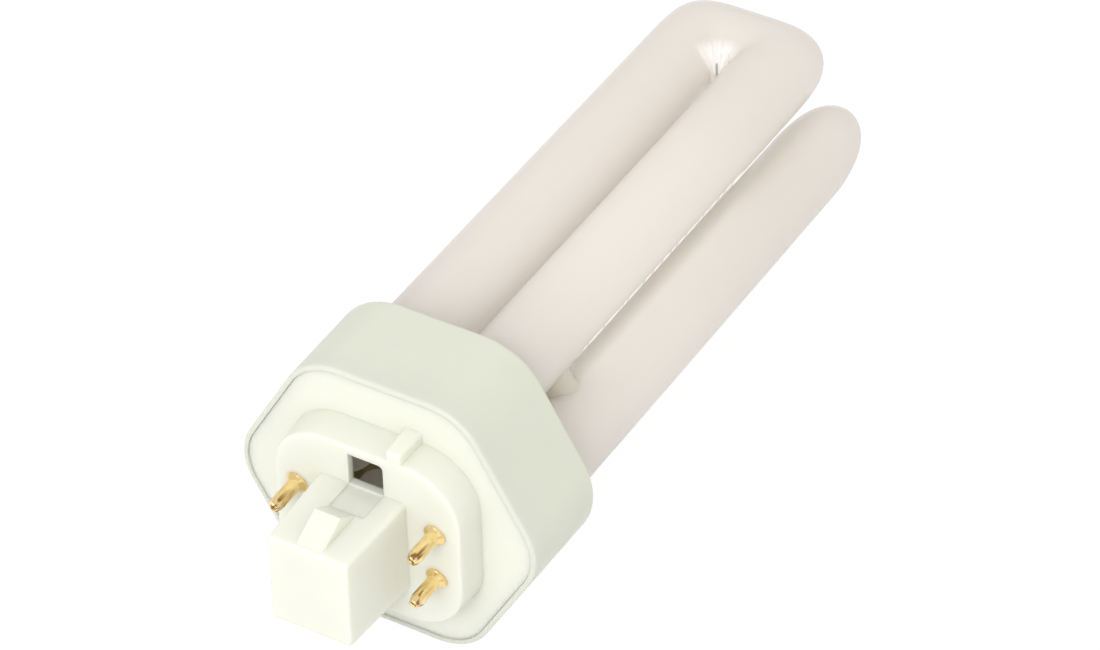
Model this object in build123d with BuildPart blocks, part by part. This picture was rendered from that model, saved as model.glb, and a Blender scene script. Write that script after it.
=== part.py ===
from build123d import *
import math
import os

# Compact fluorescent lamp: three U-shaped glass tubes in a four-pin plug-in cap. Millimetres.
# The lamp lies on one flat side of its six-sided cap. X runs across it, Y along it from cap to glass, Z up.
# A height is a distance along the lamp from the boss face, the face that seats on the holder.
# Heights grow towards the glass. The centre post and the pins reach to negative heights.

# Contact pins
pin_spacing_across = 23.0
pin_spacing_up = 8.2
pin_reach = 6.4
pin_radius = 1.1
pin_bore_radius = 0.6
pin_tip_taper = 1.2
pin_tip_flat = 1.1
pin_tip_radius = 1.0
pin_tip_round = 0.45
pin_slot_length = 0.95
pin_slot_width = 0.25
pin_slot_depth = 0.8
pin_fit = 0.03
collar_length = 3.5
collar_width = 2.6
collar_thickness = 0.35
collar_flare = 0.9
collar_turn = -28.0
swage_radius = 1.6
swage_thickness = 0.5

# Centre post, wider at its root than at its tip
post_length = 14.8
post_tip_width = 13.2
post_tip_depth = 15.4
post_root_width = 14.3
post_root_depth = 16.2
post_shift_across = -0.4
post_shift_up = -0.4
post_edge_round = 0.6
post_wall = 1.6
post_end_wall = 1.8

# Latch ridge on the upper and lower face of the post
ridge_width = 4.4
ridge_start = 0.8
ridge_crest = 5.9
ridge_end = 9.5
ridge_height = 2.4
channel_depth = 0.25

# Boss, its key rib and the two windows behind the latch ridges
boss_width = 30.8
boss_depth = 28.7
boss_corner = 8.9
boss_height = 5.6
boss_flare = 0.3
boss_wall = 1.3
boss_edge_round = 0.5
rib_centre = 4.9
rib_width = 2.9
rib_rise = 1.9
rib_corner = 0.6
rib_taper = 3.0
window_centre = 0.25
window_width = 5.8
window_corner = 0.8

# Base plate, set into the rim of the housing shell
plate_thickness = 2.0
plate_recess = 0.35
plate_gap = 0.03
spigot_height = 3.0
spigot_wall = 1.2
spigot_gap = 0.15
sleeve_radius = 2.3
sleeve_height = 6.2

# Housing shell, a six-sided skirt with a slight draft
shell_margin = 3.45
shell_widening = 0.4
shell_corner_rim = 9.6
shell_corner_top = 11.0
shell_height = 17.3
shell_wall = 1.35
shell_lip = 0.8
shell_top_wall = 1.6
shell_top_round = 1.3
shell_rim_round = 0.5
dimple_radius = 0.45
dimple_depth = 0.2
dimple_height = 13.4
dimple_along = 9.9
dimple_side = 30.0

# Glass: six limbs on a ring, joined in pairs by squared bends
tube_radius = 6.37
limb_ring = 14.7
glass_reach = 117.3
bend_squareness = 4.0
bend_flattening = 0.6
bend_lead = 8.0
limb_end = 12.0
limb_end_round = 4.0
hole_gap = 0.3
bridge_radius = 2.6
bridge_height = 26.6
weld_round = 0.7
weld_gap_share = 0.4
pinch_width = 8.0
pinch_thickness = 2.6
pinch_corner = 1.0
pinch_end = 9.6
exhaust_radius = 1.6
exhaust_length = 3.0
exhaust_round = 0.8

# Lead wires and cement
wire_radius = 0.3
wire_spread = 3.6
wire_level = 8.6
wire_bend = 0.9
cement_thickness = 2.8
cement_gap = 0.05

# Angles round the ring in degrees, from +X towards +Z. A bend or bridge joins the limbs beside it.
limb_angles = (0, 60, 120, 180, 240, 300)
limb_angle_step = limb_angles[1]
bend_angles = (90, 210, 330)
bridge_angles = (30, 270)
pinch_angles = (120, 180)
exhaust_angle = 60

# Turns of a bend in degrees, from each of its two limbs to its middle, and the four sides of a pin
half_bends = ((0, 90), (180, 90))
facet_turns = (0, 90, 180, 270)

# Sections of the loft of a half bend
bend_steps = 4

# Sizes and places worked out from the sizes above
row_distance = limb_ring * math.cos(math.radians(limb_angle_step / 2))
shell_flats_rim = 2 * (row_distance + tube_radius + shell_margin)
shell_flats_top = shell_flats_rim + shell_widening
total_length = post_length + glass_reach
face_y = post_length - total_length / 2
shell_draft = shell_widening / shell_height
axis_z = (shell_flats_top - shell_draft * shell_top_round) / 2
plate_face = boss_height
plate_back = plate_face + plate_thickness
rim = plate_face - plate_recess
shell_top = rim + shell_height
shell_ceiling = shell_top - shell_top_wall
limb_gap = limb_ring - 2 * tube_radius
bend_reach = limb_ring / 2 + tube_radius
bend_centre = glass_reach - bend_reach
plate_flats = shell_flats_rim - 2 * shell_lip - 2 * plate_gap
plate_corner = shell_corner_rim - shell_lip - plate_gap
inner_flats = shell_flats_rim - 2 * shell_wall
inner_corner = shell_corner_rim - shell_wall
pin_x = pin_spacing_across / 2
pin_z = pin_spacing_up / 2
pin_places = ((pin_x, pin_z), (-pin_x, pin_z), (-pin_x, -pin_z), (pin_x, -pin_z))


def across(height, x=0.0, z=0.0):
    """Plane square to the lamp: local x is X, local y is Z, and its normal points away from the glass."""
    return Plane(origin=(x, face_y + height, axis_z + z), x_dir=(1, 0, 0), z_dir=(0, -1, 0))


def beside(x, z, turn=0.0):
    """Plane through a line along the lamp: local x is X turned towards Z, and local y is the height."""
    cosine = math.cos(math.radians(turn))
    sine = math.sin(math.radians(turn))
    return Plane(origin=(x, face_y, axis_z + z), x_dir=(cosine, 0, sine), z_dir=(-sine, 0, cosine))


def line_along(x, z):
    """Axis along the lamp."""
    return Axis((x, face_y, axis_z + z), (0, 1, 0))


def limb_centre(angle):
    """Place of a limb on the ring."""
    return limb_ring * math.cos(math.radians(angle)), limb_ring * math.sin(math.radians(angle))


def face_at(piece, height):
    """Largest face that lies square to the lamp at a height."""
    level = face_y + height
    square_faces = piece.faces().filter_by(Axis.Y)
    return square_faces.filter_by_position(Axis.Y, level - 0.01, level + 0.01).sort_by(SortBy.AREA)[-1]


def hexagon(flats, corner):
    """Six-sided outline with round corners, lying on a flat side."""
    outline = RegularPolygon(radius=flats / 2, side_count=6, major_radius=False)
    fillet(outline.vertices(), radius=corner)


# Housing shell: drafted skirt, pocket for the base plate, closed end with a hole for each limb
with BuildPart() as housing_shell:
    with BuildSketch(across(rim)):
        hexagon(shell_flats_rim, shell_corner_rim)
    with BuildSketch(across(shell_top)):
        hexagon(shell_flats_top, shell_corner_top)
    loft(ruled=True)
    fillet(face_at(housing_shell, shell_top).edges(), radius=shell_top_round)
    fillet(face_at(housing_shell, rim).edges(), radius=shell_rim_round)
    with BuildSketch(across(shell_ceiling)):
        hexagon(inner_flats, inner_corner)
    extrude(amount=shell_ceiling - rim, mode=Mode.SUBTRACT)
    with BuildSketch(across(plate_back)):
        hexagon(plate_flats + 2 * plate_gap, plate_corner + plate_gap)
    extrude(amount=plate_back - rim, mode=Mode.SUBTRACT)
    for angle in limb_angles:
        with BuildSketch(across(shell_top, *limb_centre(angle))):
            Circle(tube_radius + hole_gap)
        extrude(amount=shell_top_wall, both=True, mode=Mode.SUBTRACT)
    dimple_turn = math.radians(dimple_side)
    dimple_out = (shell_flats_rim + shell_draft * (dimple_height - rim)) / 2
    dimple_place = (
        dimple_out * math.cos(dimple_turn) - dimple_along * math.sin(dimple_turn),
        face_y + dimple_height,
        axis_z + dimple_out * math.sin(dimple_turn) + dimple_along * math.cos(dimple_turn),
    )
    with BuildSketch(Plane(origin=dimple_place, z_dir=(math.cos(dimple_turn), 0, math.sin(dimple_turn)))):
        Circle(dimple_radius)
    extrude(amount=-dimple_depth, mode=Mode.SUBTRACT)
housing_shell.part.label = "housing_shell"


def post_half(height):
    """Half depth of the tapered post at a height below the boss face."""
    return (post_root_depth - (post_root_depth - post_tip_depth) * -height / post_length) / 2


def ridge_corners(side):
    """Latch ridge seen from the side: it rises from the tip of the post and falls towards the boss."""
    start = ridge_start - post_length
    crest = ridge_crest - post_length
    end = ridge_end - post_length
    buried = side * (post_tip_depth - post_wall) / 2
    return (
        (start, buried),
        (start, side * post_half(start)),
        (crest, side * (post_half(crest) + ridge_height)),
        (end, side * post_half(end)),
        (end, buried),
    )


# Base cap: plate, boss with key rib, hollow post with latch ridges, and a sleeve for each pin
with BuildPart() as base_cap:
    with BuildSketch(across(0, post_shift_across, post_shift_up)):
        Rectangle(post_root_width, post_root_depth)
    with BuildSketch(across(-post_length, post_shift_across, post_shift_up)):
        Rectangle(post_tip_width, post_tip_depth)
    loft(ruled=True)
    fillet(base_cap.edges().filter_by(lambda edge: edge.bounding_box().size.Y > 1), radius=post_edge_round)
    fillet(face_at(base_cap, -post_length).edges(), radius=post_edge_round)
    ridge_plane = Plane(
        origin=(post_shift_across, face_y, axis_z + post_shift_up), x_dir=(0, 1, 0), z_dir=(1, 0, 0)
    )
    for side in (1, -1):
        with BuildSketch(ridge_plane):
            with BuildLine():
                Polyline(*ridge_corners(side), close=True)
            make_face()
        extrude(amount=ridge_width / 2, both=True)
    with BuildSketch(across(plate_face)):
        RectangleRounded(boss_width + 2 * boss_flare, boss_depth + 2 * boss_flare, boss_corner)
    extrude(amount=boss_height, taper=math.degrees(math.atan(boss_flare / boss_height)))
    with BuildSketch(across(plate_face, rib_centre, boss_depth / 2)):
        rib = Rectangle(rib_width, 2 * (rib_rise + boss_flare))
        fillet(rib.vertices().group_by(Axis.Z)[-1], radius=rib_corner)
    extrude(amount=boss_height, taper=rib_taper)
    fillet(face_at(base_cap, 0).outer_wire().edges(), radius=boss_edge_round)
    with BuildSketch(across(plate_face)):
        hexagon(plate_flats, plate_corner)
    extrude(amount=-plate_thickness)
    with BuildSketch(across(plate_back)):
        hexagon(inner_flats - 2 * spigot_gap, inner_corner - spigot_gap)
        offset(amount=-spigot_wall, mode=Mode.SUBTRACT)
    extrude(amount=-spigot_height)
    with BuildSketch(across(plate_back)):
        RectangleRounded(boss_width - 2 * boss_wall, boss_depth - 2 * boss_wall, boss_corner - boss_wall)
    extrude(amount=plate_back - boss_wall, mode=Mode.SUBTRACT)
    with BuildSketch(across(boss_wall, post_shift_across, post_shift_up)):
        Rectangle(post_root_width - 2 * post_wall, post_root_depth - 2 * post_wall)
    with BuildSketch(across(post_end_wall - post_length, post_shift_across, post_shift_up)):
        Rectangle(post_tip_width - 2 * post_wall, post_tip_depth - 2 * post_wall)
    loft(ruled=True, mode=Mode.SUBTRACT)
    for x, z in pin_places:
        with BuildSketch(across(boss_wall + sleeve_height, x, z)):
            Circle(sleeve_radius)
        extrude(amount=sleeve_height)
        with BuildSketch(across(0, x, z)):
            Circle(pin_radius + pin_fit)
        extrude(amount=-boss_wall - sleeve_height, mode=Mode.SUBTRACT)
    for side in (1, -1):
        near = post_shift_up + side * post_root_depth / 2
        far = side * (boss_depth / 2 - boss_wall)
        with BuildSketch(across(0, window_centre, (near + far) / 2)):
            window = Rectangle(window_width, abs(far - near))
            fillet(window.vertices().group_by(Axis.X)[-1].sort_by(Axis.Y)[-side], radius=window_corner)
        extrude(amount=-boss_wall, mode=Mode.SUBTRACT)
        floor = post_shift_up + side * (post_half(ridge_end - post_length) - channel_depth)
        with BuildSketch(across(0, window_centre, (floor + far) / 2)):
            Rectangle(window_width, abs(far - floor))
        extrude(amount=post_length - ridge_end, mode=Mode.SUBTRACT)
base_cap.part.label = "base_cap"


def contact_pin(x, z):
    """Hollow pin with an eared, flared collar on the boss face, a swaged inner end and a crimped tip."""
    with BuildPart() as pin:
        with BuildSketch(beside(x, z)) as half:
            with BuildLine():
                inner = boss_wall + sleeve_height
                Polyline(
                    (0, -pin_reach),
                    (pin_tip_radius, -pin_reach),
                    (pin_radius, pin_tip_taper - pin_reach),
                    (pin_radius, inner),
                    (swage_radius, inner),
                    (swage_radius, inner + swage_thickness),
                    (0, inner + swage_thickness),
                    close=True,
                )
            make_face()
            fillet(half.vertices().group_by(Axis.Y)[0].sort_by(Axis.X)[-1], radius=pin_tip_round)
        revolve(axis=line_along(x, z))
        for turn in facet_turns:
            with BuildSketch(beside(x, z, collar_turn + turn)):
                with BuildLine():
                    Polyline(
                        (pin_tip_flat / 2, -pin_reach),
                        (pin_radius, pin_tip_taper - pin_reach),
                        (2 * pin_radius, pin_tip_taper - pin_reach),
                        (2 * pin_radius, -pin_reach),
                        close=True,
                    )
                make_face()
            extrude(amount=pin_radius, both=True, mode=Mode.SUBTRACT)
        with BuildSketch(across(-pin_reach, x, z)):
            Rectangle(pin_slot_length, pin_slot_width, rotation=collar_turn)
        extrude(amount=-pin_slot_depth, mode=Mode.SUBTRACT)
        with BuildSketch(across(0, x, z)):
            SlotOverall(collar_length, collar_width, rotation=collar_turn)
        extrude(amount=collar_thickness)
        with BuildSketch(across(-collar_thickness, x, z)):
            Ellipse(collar_length / 2, collar_width / 2, rotation=collar_turn)
        with BuildSketch(across(-collar_thickness - collar_flare, x, z)):
            Circle(pin_radius - pin_fit)
        loft()
        with BuildSketch(across(pin_tip_taper - pin_reach, x, z)):
            Circle(pin_bore_radius)
        extrude(amount=pin_tip_taper - pin_reach - inner - swage_thickness, mode=Mode.SUBTRACT)
    return pin.part


pins = []
for number, (x, z) in enumerate(pin_places, start=1):
    pin = contact_pin(x, z)
    pin.label = f"contact_pin_{number}"
    pins.append(pin)


def bend_section(angle, turn, lead=0.0):
    """Plane and two radii of the tube's ellipse, where the bend has turned by 0 to 180 degrees.

    The bend turns about a point midway between its two limbs. Its outer edge follows a squared circle, and
    the tube is thinnest at the middle. A lead moves the ellipse down the limb.
    """
    cosine = math.cos(math.radians(turn))
    sine = math.sin(math.radians(turn))
    side = (math.sin(math.radians(angle)), -math.cos(math.radians(angle)))
    out = (math.cos(math.radians(angle)), math.sin(math.radians(angle)))
    squared = abs(cosine) ** bend_squareness + abs(sine) ** bend_squareness
    outer = bend_reach * squared ** (-1 / bend_squareness)
    inner = limb_gap / 2
    middle = (outer + inner) / 2
    origin = (
        row_distance * out[0] + middle * cosine * side[0],
        face_y + bend_centre + middle * sine - lead,
        axis_z + row_distance * out[1] + middle * cosine * side[1],
    )
    radial = (cosine * side[0], sine, cosine * side[1])
    travel = (-sine * side[0], cosine, -sine * side[1])
    plane = Plane(origin=origin, x_dir=radial, z_dir=travel)
    return plane, (outer - inner) / 2, tube_radius - bend_flattening * sine**2


# Discharge tube: three sealed, coated U tubes in a row, joined by two bridges near the cap
with BuildPart() as discharge_tube:
    for angle in bend_angles:
        for limb_turn, middle_turn in half_bends:
            with BuildPart(mode=Mode.PRIVATE) as half_tube:
                sections = [bend_section(angle, limb_turn, lead) for lead in (bend_lead, bend_lead / 2)]
                for step in range(bend_steps + 1):
                    turn = limb_turn + (middle_turn - limb_turn) * step / bend_steps
                    sections.append(bend_section(angle, turn))
                for plane, wide, thick in sections:
                    with BuildSketch(plane):
                        Ellipse(wide, thick)
                loft()
                with BuildSketch(bend_section(angle, limb_turn, bend_lead)[0]):
                    Circle(tube_radius)
                extrude(amount=(bend_centre - bend_lead - limb_end) * (-1 if limb_turn == 0 else 1))
            add(half_tube.part)
    fillet(discharge_tube.faces().group_by(Axis.Y)[0].edges(), radius=limb_end_round)
    for angle in bridge_angles:
        x, z = limb_centre(angle - limb_angle_step / 2)
        end_x, end_z = limb_centre(angle + limb_angle_step / 2)
        start = (x, face_y + bridge_height, axis_z + z)
        with BuildSketch(Plane(origin=start, x_dir=(0, 1, 0), z_dir=(end_x - x, 0, end_z - z))):
            Circle(bridge_radius)
        extrude(amount=limb_ring)
        welds = discharge_tube.edges(Select.LAST).filter_by(lambda edge: edge.length > bridge_radius)
        fillet(welds, radius=min(weld_round, limb_gap * weld_gap_share))
    for angle in pinch_angles:
        with BuildSketch(across(limb_end + limb_end_round, *limb_centre(angle))):
            RectangleRounded(pinch_thickness, pinch_width, pinch_corner, rotation=angle)
        extrude(amount=limb_end + limb_end_round - pinch_end)
    with BuildSketch(across(limb_end + limb_end_round, *limb_centre(exhaust_angle))):
        Circle(exhaust_radius)
    extrude(amount=limb_end_round + exhaust_length)
    fillet(face_at(discharge_tube, limb_end - exhaust_length).edges(), radius=exhaust_round)
discharge_tube.part.label = "discharge_tube"


def wire_route(number):
    """Corners of the lead wire of a pin: out of a pinch seal, across the cap and down the bore of the pin."""
    pin_x_place, pin_z_place = pin_places[number]
    angle = pinch_angles[0] if pin_x_place > 0 else pinch_angles[1]
    limb_x, limb_z = limb_centre(angle)
    turn = math.radians(angle)
    offset_along = wire_spread / 2 if pin_z_place > 0 else -wire_spread / 2
    start_x = limb_x + offset_along * abs(math.sin(turn))
    start_z = limb_z - offset_along * math.cos(turn)
    return (
        (start_x, face_y + pinch_end, axis_z + start_z),
        (start_x, face_y + wire_level, axis_z + start_z),
        (pin_x_place, face_y + wire_level, axis_z + pin_z_place),
        (pin_x_place, face_y + pin_tip_taper - pin_reach, axis_z + pin_z_place),
    )


wires = []
for number in range(4):
    with BuildPart() as lead_wire:
        with BuildLine():
            FilletPolyline(*wire_route(number), radius=wire_bend)
        with BuildSketch(Plane(origin=wire_route(number)[0], z_dir=(0, -1, 0))):
            Circle(wire_radius)
        sweep()
    lead_wire.part.label = f"lead_wire_{number + 1}"
    wires.append(lead_wire.part)

# Cement bed under the closed end of the shell, poured round the six limbs
with BuildPart() as cement_bed:
    with BuildSketch(across(shell_ceiling)):
        hexagon(inner_flats - 2 * cement_gap, inner_corner - cement_gap)
        for angle in limb_angles:
            with Locations(limb_centre(angle)):
                Circle(tube_radius + cement_gap, mode=Mode.SUBTRACT)
    extrude(amount=cement_thickness)
cement_bed.part.label = "cement_bed"

os.makedirs("parts", exist_ok=True)
for piece in (housing_shell.part, base_cap.part, discharge_tube.part, cement_bed.part, *pins, *wires):
    export_step(piece, f"parts/{piece.label}.step")
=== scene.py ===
import math

import bmesh
import bpy
from mathutils import Matrix, Vector

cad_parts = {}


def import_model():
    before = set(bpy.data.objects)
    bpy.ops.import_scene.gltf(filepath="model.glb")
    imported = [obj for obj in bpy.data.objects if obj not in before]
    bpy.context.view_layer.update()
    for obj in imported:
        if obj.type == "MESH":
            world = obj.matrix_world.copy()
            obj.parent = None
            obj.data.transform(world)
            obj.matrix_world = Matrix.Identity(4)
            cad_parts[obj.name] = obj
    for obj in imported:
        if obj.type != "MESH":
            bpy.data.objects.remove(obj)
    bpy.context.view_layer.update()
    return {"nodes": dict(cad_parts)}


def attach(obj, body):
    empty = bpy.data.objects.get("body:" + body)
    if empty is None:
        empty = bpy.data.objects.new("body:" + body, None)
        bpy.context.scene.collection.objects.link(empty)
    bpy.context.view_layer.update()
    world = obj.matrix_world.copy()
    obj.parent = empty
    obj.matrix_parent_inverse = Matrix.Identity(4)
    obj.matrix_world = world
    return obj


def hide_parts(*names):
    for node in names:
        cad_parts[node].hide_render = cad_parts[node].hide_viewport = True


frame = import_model()

# Sizes in metres. The bulb lies along Y with its base towards -Y, on the ground at Z = 0.
# FACE_Y is the face of the boss, and the heights below are measured from it towards the glass.
MM = 0.001
FACE_Y = -51.25 * MM
AXIS_Z = 22.7355 * MM

# Glass limbs, which stand in a ring of six, and the ring's distance to the middle of a U
TUBE_RADIUS = 6.37 * MM
LIMB_RING = 14.7 * MM
LIMB_GAP = LIMB_RING - 2 * TUBE_RADIUS
U_DISTANCE = LIMB_RING * math.cos(math.radians(30))
BEND_REACH = LIMB_RING / 2 + TUBE_RADIUS
LIMB_END = 12.0 * MM
LIMB_END_ROUND = 4.0 * MM
END_STEPS = 12

# Bridges, the web in the crotch of the top U, pinch seals and exhaust tip
BRIDGE_HEIGHT = 34.6 * MM
BRIDGE_RADIUS = 2.6 * MM
BRIDGE_STEPS = 28
WELD_RADIUS = 3.3 * MM
WELD_START = 0.4 * MM
WELD_END = 2.15 * MM
WELD_FLARE = 2.2
WEB_HEIGHT = 104.0 * MM
WEB_RAISE = 0.4 * MM
WEB_HALF = (1.3 * MM, 2.7 * MM, 3.0 * MM)
WEB_STEPS = 16
PINCH_WIDTH = 8.0 * MM
PINCH_THICKNESS = 2.6 * MM
PINCH_END = 9.6 * MM
PINCH_BEVEL = 0.4 * MM
PINCH_BEVEL_SIZE = 0.9
PINCH_ROOT = 2 * MM
PINCH_SQUARENESS = 0.4
EXHAUST_RADIUS = 1.6 * MM
EXHAUST_END = 9.0 * MM
EXHAUST_ROOT = 1 * MM
EXHAUST_STEPS = 10

# Each U has its own bend: how far its top reaches, how square it is, how much thinner, and how it leans
U_TUBES = (
    {"angle": 90, "top": 117.7 * MM, "squareness": 4.0, "flattening": 0.5 * MM, "lean": 0.0},
    {"angle": 210, "top": 117.3 * MM, "squareness": 4.0, "flattening": 0.6 * MM, "lean": 0.0},
    {"angle": 330, "top": 118.3 * MM, "squareness": 3.7, "flattening": 1.4 * MM, "lean": -0.36 * MM},
)
BRIDGES = ((0, 1), (4, 5))
PINCHED_LIMBS = (2, 3)
EXHAUST_LIMB = 1
RING_POINTS = 72
LIMB_STEPS = 40
BEND_STEPS = 64

# Marks on the glass: painted shade and a painted glint along the edge of a limb beside the narrow gap, the
# weld stains, and the fan of creases with its painted highlight and painted dark slit
GAP_LIMB = 1
GAP_TURN = math.radians(-31.4)
GAP_LOW = FACE_Y + 36 * MM
GAP_HIGH = FACE_Y + 84 * MM
GAP_FADE = 4 * MM
STAIN_INNER = 4.6 * MM
STAIN_OUTER = 6.6 * MM
FAN_FOOT = Vector((1.6 * MM, FACE_Y + 99.79 * MM, AXIS_Z + 15.0 * MM))
FAN_ACROSS = Vector((0.8619, 0.5067, -0.0192))
FAN_UP = Vector((-0.3106, 0.5575, 0.7699))

# Camera at the photo's viewing angle
CAMERA_AT = Vector((0.2808, -0.46075, 0.4702))
CAMERA_RIGHT = Vector((0.8619, 0.5067, -0.0192))
CAMERA_UP = Vector((-0.3106, 0.5575, 0.7699))
CAMERA_BACK = Vector((0.4008, -0.6577, 0.6379))
SENSOR_WIDTH = 36
CAMERA_LENS = SENSOR_WIDTH * 4700 / 1100


def limb_centre(number):
    """Place of a limb on the ring, counted from +X towards +Z."""
    angle = math.radians(60 * number)
    return Vector((LIMB_RING * math.cos(angle), 0, LIMB_RING * math.sin(angle)))


def lamp_point(height):
    """Point on the lamp's axis at a height above the boss face."""
    return Vector((0, FACE_Y + height, AXIS_Z))


# Materials

# Shares of the light that the thin walls let through, and strengths of the painted glints that glow in the
# clear glass
GLASS_THROUGH = 0.5
PLASTIC_THROUGH = 0.1
DASH_GLINT = 1.5
FAN_GLINT = 0.75


class Nodes:
    """Short way to add and link the shader nodes of a material or of the world."""

    def __init__(self, owner, output="OutputMaterial"):
        owner.use_nodes = True
        self.owner = owner
        self.tree = owner.node_tree
        self.tree.nodes.clear()
        self.output = self.add(output)

    def add(self, kind, settings=None, **inputs):
        node = self.tree.nodes.new("ShaderNode" + kind)
        for key, value in (settings or {}).items():
            setattr(node, key, value)
        for key, value in inputs.items():
            self.feed(node, key.replace("_", " "), value)
        return node

    def feed(self, node, socket, value):
        target = node.inputs[int(socket) if socket.isdigit() else socket]
        if isinstance(value, bpy.types.NodeSocket):
            self.tree.links.new(value, target)
        else:
            target.default_value = value

    def maths(self, operation, first, second=0.0, clamp=False):
        node = self.add("Math", {"operation": operation, "use_clamp": clamp})
        self.feed(node, "0", first)
        self.feed(node, "1", second)
        return node.outputs[0]

    def product(self, *factors):
        result = factors[0]
        for factor in factors[1:]:
            result = self.maths("MULTIPLY", result, factor)
        return result

    def vector(self, operation, first, second=(0, 0, 0)):
        node = self.add("VectorMath", {"operation": operation})
        self.feed(node, "0", first)
        self.feed(node, "1", second)
        return node.outputs

    def axis(self, place, name):
        return self.add("SeparateXYZ", None, Vector=place).outputs[name]

    def stretched(self, place, scale):
        return self.add("Mapping", None, Vector=place, Scale=scale).outputs[0]

    def mix(self, factor, first, second):
        node = self.add("Mix", {"data_type": "RGBA"})
        self.feed(node, "0", factor)
        self.feed(node, "6", first)
        self.feed(node, "7", second)
        return node.outputs[2]

    def ramp(self, value, low, high, start=0.0, end=1.0):
        node = self.add("MapRange", {"interpolation_type": "SMOOTHSTEP"})
        for socket, number in zip(range(5), (value, low, high, start, end)):
            self.feed(node, str(socket), number)
        return node.outputs[0]

    def noise(self, place, scale, detail=3.0, roughness=0.5):
        node = self.add("TexNoise", None, Scale=scale, Detail=detail, Roughness=roughness, Vector=place)
        return node.outputs["Fac"]

    def blend(self, factor, first, second):
        node = self.add("MixShader")
        self.feed(node, "0", factor)
        self.feed(node, "1", first.outputs[0])
        self.feed(node, "2", second.outputs[0])
        return node

    def finish(self, shader):
        self.tree.links.new(shader.outputs[0], self.output.inputs[0])
        return self.owner


def moulded_plastic(name, colour, shade, roughness):
    """Satin off-white plastic with a faint mottle, fine mould grain and softened edges."""
    n = Nodes(bpy.data.materials.new(name))
    place = n.add("TexCoord").outputs["Object"]
    mottle = n.ramp(n.noise(place, 60.0), 0.35, 0.7)
    grain = n.noise(place, 2600.0, 2.0)
    tint = n.mix(mottle, colour, shade)
    gloss = n.ramp(n.noise(place, 240.0), 0.3, 0.7, roughness - 0.04, roughness + 0.06)
    edges = n.add("Bevel", {"samples": 6}, Radius=0.00022)
    bump = n.add("Bump", None, Strength=0.12, Distance=0.00004, Height=grain, Normal=edges.outputs[0])
    shader = n.add("BsdfPrincipled", None, Base_Color=tint, Roughness=gloss, Normal=bump.outputs[0])
    shader.inputs["IOR"].default_value = 1.48
    shader.inputs["Subsurface Weight"].default_value = 0.5
    shader.inputs["Subsurface Radius"].default_value = (1.0, 0.95, 0.7)
    shader.inputs["Subsurface Scale"].default_value = 0.0025
    through = n.add("BsdfTranslucent", None, Color=(0.92, 0.90, 0.66, 1))
    return n.finish(n.blend(PLASTIC_THROUGH, shader, through))


def gap_edge(n, place):
    """Painted shade: a greenish darker band on a limb beside the narrow gap; and a painted glint: the
    broken bright line in it, which glows.
    """
    out = n.vector("SUBTRACT", place, limb_centre(GAP_LIMB) + Vector((0, 0, AXIS_Z)))[0]
    flat = n.vector("MULTIPLY", out, (1, 0, 1))[0]
    towards_gap = n.vector("DOT_PRODUCT", flat, (math.cos(GAP_TURN), 0, math.sin(GAP_TURN)))["Value"]
    share = n.maths("DIVIDE", towards_gap, TUBE_RADIUS)
    on_limb = n.maths("LESS_THAN", n.vector("LENGTH", flat)["Value"], TUBE_RADIUS * 1.02)
    height = n.axis(place, "Y")
    start = n.ramp(height, GAP_LOW, GAP_LOW + GAP_FADE)
    end = n.ramp(height, GAP_HIGH, GAP_HIGH + GAP_FADE, 1.0, 0.0)
    span = n.product(start, end, on_limb)
    painted_gap_shade = n.product(n.ramp(share, 0.86, 0.96, 0.0, 0.8), span)
    broken = n.ramp(n.noise(n.stretched(place, (0, 1, 0)), 1100.0, 2.0), 0.42, 0.5)
    painted_dash_glint = n.product(n.ramp(share, 0.965, 0.975), broken, span)
    return painted_gap_shade, painted_dash_glint


def crotch_fan(n, place):
    """Painted highlight: a bright, glowing fan of creases in the crotch of the top U; and painted shade:
    the short dark slit at its foot.
    """
    out = n.vector("SUBTRACT", place, FAN_FOOT)[0]
    across = n.vector("DOT_PRODUCT", out, FAN_ACROSS)["Value"]
    up = n.vector("DOT_PRODUCT", out, FAN_UP)["Value"]
    turn = n.maths("ARCTAN2", across, up)
    reach = n.maths("SQRT", n.maths("ADD", n.maths("POWER", across, 2.0), n.maths("POWER", up, 2.0)))
    creases = n.noise(n.add("CombineXYZ", None, X=turn).outputs[0], 14.0, 2.0)
    top = n.ramp(n.axis(place, "Z"), AXIS_Z + 9 * MM, AXIS_Z + 12 * MM)
    fan = n.product(
        n.ramp(creases, 0.32, 0.6, 0.3, 1.0),
        n.ramp(n.maths("ABSOLUTE", turn), 0.36, 0.66, 1.0, 0.0),
        n.ramp(reach, 0.2 * MM, 1.2 * MM),
        n.ramp(reach, 4.6 * MM, 7.0 * MM, 1.0, 0.0),
        top,
    )
    painted_slit_shade = n.product(
        n.ramp(n.maths("ABSOLUTE", across), 0.08 * MM, 0.24 * MM, 0.9, 0.0),
        n.ramp(up, 0.6 * MM, 1.0 * MM),
        n.ramp(up, 2.4 * MM, 2.9 * MM, 1.0, 0.0),
        top,
    )
    return fan, painted_slit_shade, creases


def weld_stain(n, place, first, second):
    """Uneven yellowish stain round the bridge between two limbs."""
    middle = (limb_centre(first) + limb_centre(second)) / 2 + lamp_point(BRIDGE_HEIGHT)
    away = n.vector("DISTANCE", place, middle)["Value"]
    broken = n.maths("MULTIPLY", n.noise(place, 500.0, 3.0), 4 * MM)
    return n.ramp(n.maths("ADD", away, broken), STAIN_INNER, STAIN_OUTER, 0.55, 0.0)


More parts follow.
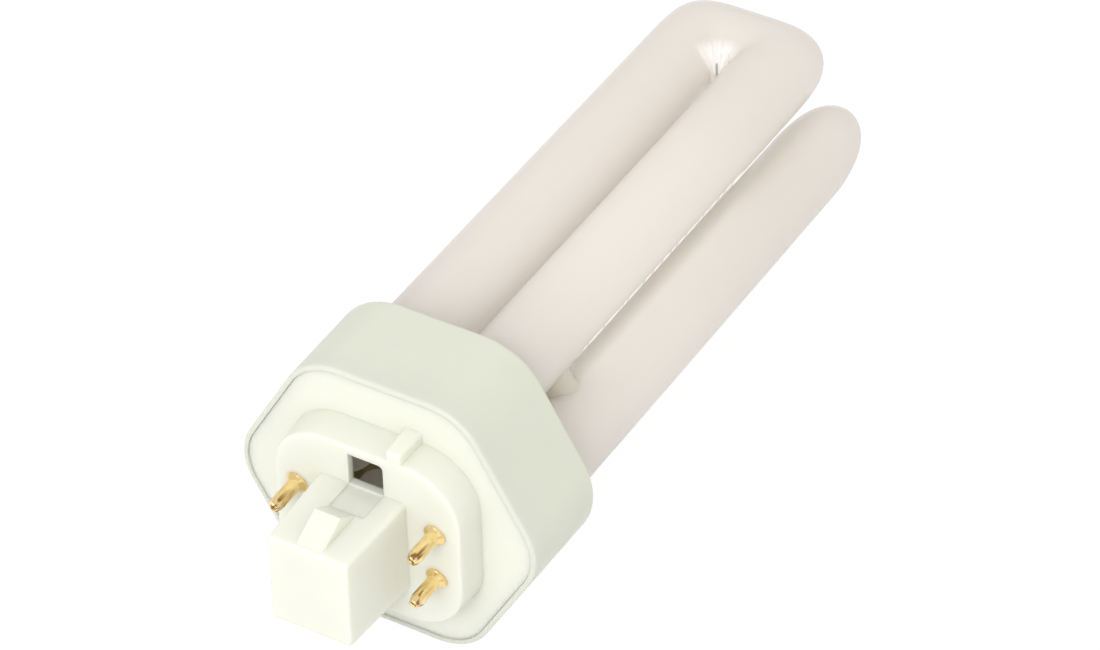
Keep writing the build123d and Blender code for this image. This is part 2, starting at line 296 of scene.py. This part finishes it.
def coating(n, place, drawn):
    """Colour of the milky coating, with faint streaks that are partly painted reflections, a little darker
    towards the bends.
    """
    # Faint lighter and darker streaks along the limbs: partly uneven coating, partly painted reflection
    # streaks
    streaks = n.ramp(n.noise(drawn, 420.0, 4.0, 0.6), 0.3, 0.72)
    clouds = n.ramp(n.noise(place, 55.0, 2.0), 0.3, 0.7)
    coat = n.mix(streaks, (0.975, 0.925, 0.87, 1), (0.99, 0.95, 0.90, 1))
    coat = n.mix(clouds, coat, (0.98, 0.935, 0.88, 1))
    far = n.ramp(n.axis(place, "Y"), FACE_Y + 45 * MM, FACE_Y + 115 * MM)
    return n.mix(far, coat, (0.93, 0.88, 0.825, 1))


def coated_glass():
    """Clear glossy glass over a thin milky coating that lets half of the light through."""
    n = Nodes(bpy.data.materials.new("coated_glass"))
    place = n.add("TexCoord").outputs["Object"]
    drawn = n.stretched(place, (1.0, 0.06, 1.0))
    painted_gap_shade, painted_dash_glint = gap_edge(n, place)
    fan, painted_slit_shade, creases = crotch_fan(n, place)
    # Painted shade: a greenish darker band on the limb beside the narrow gap
    coat = n.mix(painted_gap_shade, coating(n, place, drawn), (0.78, 0.80, 0.70, 1))
    # Painted highlight: the fan of creases turns white; painted shade: the slit turns dark
    coat = n.mix(fan, coat, (1, 1, 1, 1))
    coat = n.mix(painted_slit_shade, coat, (0.12, 0.10, 0.08, 1))
    for first, second in BRIDGES:
        coat = n.mix(weld_stain(n, place, first, second), coat, (0.90, 0.86, 0.70, 1))
    wave = n.add("Bump", None, Strength=0.1, Distance=0.0004, Height=n.noise(drawn, 130.0, 1.0))
    ridged = n.add("Bump", None, Strength=1.0, Distance=0.0006, Height=n.product(creases, fan))
    shader = n.add("BsdfPrincipled", None, Base_Color=coat, Roughness=0.3, Normal=ridged.outputs[0])
    shader.inputs["IOR"].default_value = 1.5
    shader.inputs["Coat Weight"].default_value = 0.8
    shader.inputs["Coat Roughness"].default_value = 0.06
    # Painted glints: the fan and the broken line beside the gap glow white, and the dark slit takes glow
    # away
    shader.inputs["Emission Color"].default_value = (1, 1, 1, 1)
    glint = n.maths("SUBTRACT", n.maths("MULTIPLY", fan, FAN_GLINT), painted_slit_shade, True)
    n.feed(shader, "Emission Strength", n.maths("ADD", n.maths("MULTIPLY", painted_dash_glint, DASH_GLINT), glint))
    n.feed(shader, "Coat Normal", wave.outputs[0])
    through = n.add("BsdfTranslucent", None, Color=(0.98, 0.96, 0.935, 1))
    return n.finish(n.blend(GLASS_THROUGH, shader, through))


def plated_brass():
    """Bright gold-coloured plating with turning marks, with painted shade in the corners and painted dark
    reflections in streaks at the tip.
    """
    n = Nodes(bpy.data.materials.new("plated_brass"))
    place = n.add("TexCoord").outputs["Object"]
    marks = n.noise(n.stretched(place, (1.0, 5.0, 1.0)), 2200.0, 2.0)
    patches = n.ramp(n.noise(place, 800.0, 2.0), 0.4, 0.75)
    corners = n.add("AmbientOcclusion", {"samples": 6, "only_local": True}, Distance=0.0006)
    gold = n.mix(patches, (0.96, 0.74, 0.36, 1), (0.88, 0.62, 0.26, 1))
    # Painted dark reflections: dark brown streaks towards the tip
    streaks = n.ramp(n.noise(n.stretched(place, (1.0, 0.12, 1.0)), 1500.0, 1.0), 0.50, 0.62)
    tip = n.ramp(n.axis(place, "Y"), FACE_Y - 5.5 * MM, FACE_Y - 2.0 * MM, 0.9, 0.0)
    gold = n.mix(n.product(streaks, tip), gold, (0.30, 0.13, 0.03, 1))
    # Painted shade: the plating turns dark brown where corners are hollow
    painted_corner_shade = n.ramp(corners.outputs["AO"], 0.25, 0.75, 0.8, 0.0)
    tint = n.mix(painted_corner_shade, gold, (0.10, 0.05, 0.015, 1))
    edges = n.add("Bevel", {"samples": 6}, Radius=0.00012)
    bump = n.add("Bump", None, Strength=0.15, Distance=0.00002, Height=marks, Normal=edges.outputs[0])
    gloss = n.ramp(patches, 0.0, 1.0, 0.10, 0.2)
    shader = n.add(
        "BsdfPrincipled", None, Base_Color=tint, Metallic=1.0, Roughness=gloss, Normal=bump.outputs[0]
    )
    return n.finish(shader)


def drawn_wire():
    """Dull grey nickel wire."""
    n = Nodes(bpy.data.materials.new("drawn_wire"))
    place = n.add("TexCoord").outputs["Object"]
    tarnish = n.ramp(n.noise(place, 900.0), 0.35, 0.7)
    tint = n.mix(tarnish, (0.50, 0.48, 0.44, 1), (0.30, 0.27, 0.22, 1))
    shader = n.add("BsdfPrincipled", None, Base_Color=tint, Metallic=1.0, Roughness=0.35)
    return n.finish(shader)


def basing_cement():
    """Rough olive-brown cement."""
    n = Nodes(bpy.data.materials.new("basing_cement"))
    place = n.add("TexCoord").outputs["Object"]
    lumps = n.noise(place, 500.0, 4.0, 0.6)
    tint = n.mix(n.ramp(lumps, 0.3, 0.7), (0.52, 0.47, 0.24, 1), (0.66, 0.60, 0.34, 1))
    bump = n.add("Bump", None, Strength=0.6, Distance=0.0003, Height=lumps)
    shader = n.add("BsdfPrincipled", None, Base_Color=tint, Roughness=0.85, Normal=bump.outputs[0])
    return n.finish(shader)


def white_for_the_camera(n):
    """Factor that is 1 for what the camera sees, also in reflections and through glass."""
    rays = n.add("LightPath")
    seen = n.maths("MAXIMUM", rays.outputs["Is Camera Ray"], rays.outputs["Is Glossy Ray"])
    return n.maths("MAXIMUM", seen, rays.outputs["Is Transmission Ray"])


def pale_floor():
    """White floor that keeps a light shadow."""
    n = Nodes(bpy.data.materials.new("pale_floor"))
    seen = white_for_the_camera(n)
    grain = n.noise(n.add("TexCoord").outputs["Object"], 90.0)
    tint = n.mix(grain, (0.80, 0.80, 0.80, 1), (0.83, 0.83, 0.83, 1))
    matt = n.add("BsdfDiffuse", None, Color=tint)
    light = n.add("Emission", None, Color=(1, 1, 1, 1), Strength=FLOOR_GLOW)
    return n.finish(n.blend(n.maths("MULTIPLY", seen, FLOOR_WHITENESS), matt, light))


# Glass


def ring_of(mesh, centre, wide, thick):
    """Ring of vertices round a centre, from two half-axis vectors."""
    verts = []
    for step in range(RING_POINTS):
        angle = 2 * math.pi * step / RING_POINTS
        verts.append(mesh.verts.new(centre + wide * math.cos(angle) + thick * math.sin(angle)))
    return verts


def skin(mesh, rings):
    """Faces between rings, with both ends closed by a fan."""
    for low, high in zip(rings, rings[1:]):
        for step in range(RING_POINTS):
            after = (step + 1) % RING_POINTS
            mesh.faces.new((low[step], low[after], high[after], high[step]))
    for ring in (rings[0], rings[-1]):
        middle = sum((vert.co for vert in ring), Vector()) / RING_POINTS
        tip = mesh.verts.new(middle)
        for step in range(RING_POINTS):
            mesh.faces.new((ring[step], ring[(step + 1) % RING_POINTS], tip))


def dome_rings(mesh, centre, wide, thick, down):
    """Rings of a limb's rounded end, from its tip to its full width."""
    rings = []
    for step in range(1, END_STEPS + 1):
        angle = math.radians(90 * step / END_STEPS)
        inset = LIMB_END_ROUND * (1 - math.sin(angle))
        scale = (TUBE_RADIUS - inset) / TUBE_RADIUS
        place = centre + down * (LIMB_END_ROUND * math.cos(angle))
        rings.append(ring_of(mesh, place, wide * scale, thick * scale))
    flat = (TUBE_RADIUS - LIMB_END_ROUND) / TUBE_RADIUS
    rings.insert(0, ring_of(mesh, centre + down * LIMB_END_ROUND, wide * flat, thick * flat))
    return rings


def u_tube(mesh, angle, top, squareness, flattening, lean):
    """One U: two straight limbs joined by a bend that is square outside and tight inside."""
    bend_centre = top - BEND_REACH
    out = Vector((math.cos(math.radians(angle)), 0, math.sin(math.radians(angle))))
    side = Vector((math.sin(math.radians(angle)), 0, -math.cos(math.radians(angle))))
    along = Vector((0, 1, 0))
    hub = lamp_point(bend_centre) + out * U_DISTANCE
    straight = bend_centre - LIMB_END - LIMB_END_ROUND
    offset = side * (LIMB_RING / 2)
    rings = dome_rings(mesh, hub + offset - along * straight, side * TUBE_RADIUS, out * TUBE_RADIUS, -along)
    for step in range(1, LIMB_STEPS):
        height = along * straight * (step / LIMB_STEPS - 1)
        rings.append(ring_of(mesh, hub + offset + height, side * TUBE_RADIUS, out * TUBE_RADIUS))
    for step in range(BEND_STEPS + 1):
        turn = math.pi * step / BEND_STEPS
        cosine, sine = math.cos(turn), math.sin(turn)
        norm = abs(cosine) ** squareness + abs(sine) ** squareness
        outer = BEND_REACH * norm ** (-1 / squareness)
        inner = LIMB_GAP / 2
        radial = side * cosine + along * sine
        thick = TUBE_RADIUS - flattening * sine**2
        middle = hub + radial * (outer + inner) / 2 + out * lean * sine**2
        rings.append(ring_of(mesh, middle, radial * (outer - inner) / 2, out * thick))
    for step in range(1, LIMB_STEPS):
        height = -along * straight * step / LIMB_STEPS
        rings.append(ring_of(mesh, hub - offset + height, -side * TUBE_RADIUS, out * TUBE_RADIUS))
    far = dome_rings(mesh, hub - offset - along * straight, -side * TUBE_RADIUS, out * TUBE_RADIUS, -along)
    rings.extend(reversed(far))
    skin(mesh, rings)


def weld_bridge(mesh, first, second):
    """Short glass bridge between two limbs, flared where it is welded on."""
    start = limb_centre(first) + lamp_point(BRIDGE_HEIGHT)
    end = limb_centre(second) + lamp_point(BRIDGE_HEIGHT)
    run = (end - start).normalized()
    middle = (start + end) / 2
    across = run.cross(Vector((0, 1, 0)))
    rings = []
    for step in range(-BRIDGE_STEPS, BRIDGE_STEPS + 1):
        place = WELD_END * step / BRIDGE_STEPS
        flare = max(0.0, (abs(place) - WELD_START) / (WELD_END - WELD_START))
        radius = BRIDGE_RADIUS + (WELD_RADIUS - BRIDGE_RADIUS) * flare**WELD_FLARE
        rings.append(ring_of(mesh, middle + run * place, Vector((0, radius, 0)), across * radius))
    skin(mesh, rings)


def crotch_web(mesh):
    """Small web of glass that closes the top of the gap in the top U."""
    middle = lamp_point(WEB_HEIGHT) + Vector((0, 0, U_DISTANCE + WEB_RAISE))
    across, along, up = WEB_HALF
    rings = []
    for step in range(1, WEB_STEPS):
        angle = math.pi * step / WEB_STEPS
        place = middle + Vector((0, -along * math.cos(angle), 0))
        size = math.sin(angle)
        rings.append(ring_of(mesh, place, Vector((across * size, 0, 0)), Vector((0, 0, up * size))))
    skin(mesh, rings)


def squared(wave):
    """Cosine or sine of an angle, pushed outwards so that a ring turns into a soft-cornered oblong."""
    return math.copysign(abs(wave) ** PINCH_SQUARENESS, wave)


def pinch_seal(mesh, number):
    """Flat pinch at the end of a limb."""
    centre = limb_centre(number)
    radial = centre.normalized()
    around = radial.cross(Vector((0, 1, 0)))
    sections = (
        (PINCH_END, PINCH_BEVEL_SIZE),
        (PINCH_END + PINCH_BEVEL, 1.0),
        (LIMB_END + PINCH_ROOT, 1.0),
    )
    rings = []
    for height, size in sections:
        ring = []
        for step in range(RING_POINTS):
            angle = 2 * math.pi * step / RING_POINTS
            wide = squared(math.cos(angle)) * PINCH_WIDTH / 2 * size
            thick = squared(math.sin(angle)) * PINCH_THICKNESS / 2 * size
            ring.append(mesh.verts.new(centre + lamp_point(height) + around * wide + radial * thick))
        rings.append(ring)
    skin(mesh, rings)


def exhaust_tip(mesh, number):
    """Melted-off exhaust tube at the end of a limb."""
    centre = limb_centre(number)
    rings = []
    for step in range(1, EXHAUST_STEPS + 1):
        angle = math.radians(90 * step / EXHAUST_STEPS)
        place = centre + lamp_point(EXHAUST_END + EXHAUST_RADIUS * (1 - math.cos(angle)))
        radius = EXHAUST_RADIUS * math.sin(angle)
        rings.append(ring_of(mesh, place, Vector((radius, 0, 0)), Vector((0, 0, radius))))
    root = centre + lamp_point(LIMB_END + EXHAUST_ROOT)
    rings.append(ring_of(mesh, root, Vector((EXHAUST_RADIUS, 0, 0)), Vector((0, 0, EXHAUST_RADIUS))))
    skin(mesh, rings)


def piece_from(name, mesh):
    """Smooth-shaded object made from a bmesh."""
    bmesh.ops.recalc_face_normals(mesh, faces=mesh.faces)
    data = bpy.data.meshes.new(name)
    mesh.to_mesh(data)
    mesh.free()
    data.polygons.foreach_set("use_smooth", [True] * len(data.polygons))
    piece = bpy.data.objects.new(name, data)
    bpy.context.scene.collection.objects.link(piece)
    return piece


def glass():
    """The discharge tube: three U tubes, the web, two bridges, two pinches and the exhaust tip."""
    mesh = bmesh.new()
    for tube in U_TUBES:
        u_tube(mesh, **tube)
    crotch_web(mesh)
    for first, second in BRIDGES:
        weld_bridge(mesh, first, second)
    for number in PINCHED_LIMBS:
        pinch_seal(mesh, number)
    exhaust_tip(mesh, EXHAUST_LIMB)
    piece = piece_from("glass_tubes", mesh)
    piece.data.materials.append(coated_glass())
    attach(piece, "root")
    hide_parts("discharge_tube")


def finish_node(name, material):
    """New finish on a CAD node that keeps its shape."""
    node = frame["nodes"][name]
    node.data.materials.clear()
    node.data.materials.append(material)


# Stage

FLOOR_SIZE = 4.0
FLOOR_WHITENESS = 0.92
FLOOR_GLOW = 1.04
WORLD_LEVEL = 0.97


def camera():
    data = bpy.data.cameras.new("camera")
    data.sensor_width = SENSOR_WIDTH
    data.lens = CAMERA_LENS
    eye = bpy.data.objects.new("camera", data)
    turn = Matrix((CAMERA_RIGHT, CAMERA_UP, CAMERA_BACK)).transposed().to_4x4()
    eye.matrix_world = Matrix.Translation(CAMERA_AT) @ turn
    bpy.context.scene.collection.objects.link(eye)
    bpy.context.scene.camera = eye


def softbox(name, place, target, size, watts):
    data = bpy.data.lights.new(name, "AREA")
    data.size = size
    data.energy = watts
    lamp = bpy.data.objects.new(name, data)
    lamp.location = place
    lamp.rotation_mode = "QUATERNION"
    lamp.rotation_quaternion = (Vector(target) - Vector(place)).to_track_quat("-Z", "Y")
    bpy.context.scene.collection.objects.link(lamp)


def world():
    n = Nodes(bpy.data.worlds.new("studio"), "OutputWorld")
    soft = n.add("Background", None, Color=(1.0, 0.995, 0.98, 1), Strength=WORLD_LEVEL)
    white = n.add("Background", None, Color=(0.8, 0.8, 0.8, 1), Strength=1.0)
    bpy.context.scene.world = n.finish(n.blend(white_for_the_camera(n), soft, white))


def floor():
    data = bpy.data.meshes.new("floor")
    half = FLOOR_SIZE / 2
    corners = [(-half, -half, 0), (half, -half, 0), (half, half, 0), (-half, half, 0)]
    data.from_pydata(corners, [], [(0, 1, 2, 3)])
    data.materials.append(pale_floor())
    plane = bpy.data.objects.new("floor", data)
    bpy.context.scene.collection.objects.link(plane)


camera()
world()
floor()
softbox("key", (0.13, -0.87, 0.56), (0, -0.03, 0.02), 0.5, 4.2)
softbox("rim", (0.7, 0.1, 0.7), (0, 0, 0.02), 0.6, 0.25)

shell_plastic = moulded_plastic("shell_plastic", (0.73, 0.75, 0.645, 1), (0.715, 0.735, 0.63, 1), 0.32)
cap_plastic = moulded_plastic("cap_plastic", (0.85, 0.86, 0.765, 1), (0.835, 0.845, 0.75, 1), 0.34)
brass = plated_brass()
wire = drawn_wire()
finish_node("housing_shell", shell_plastic)
finish_node("base_cap", cap_plastic)
finish_node("cement_bed", basing_cement())
for number in range(1, 5):
    finish_node(f"contact_pin_{number}", brass)
    finish_node(f"lead_wire_{number}", wire)
glass()

bpy.context.scene.view_settings.view_transform = "Standard"
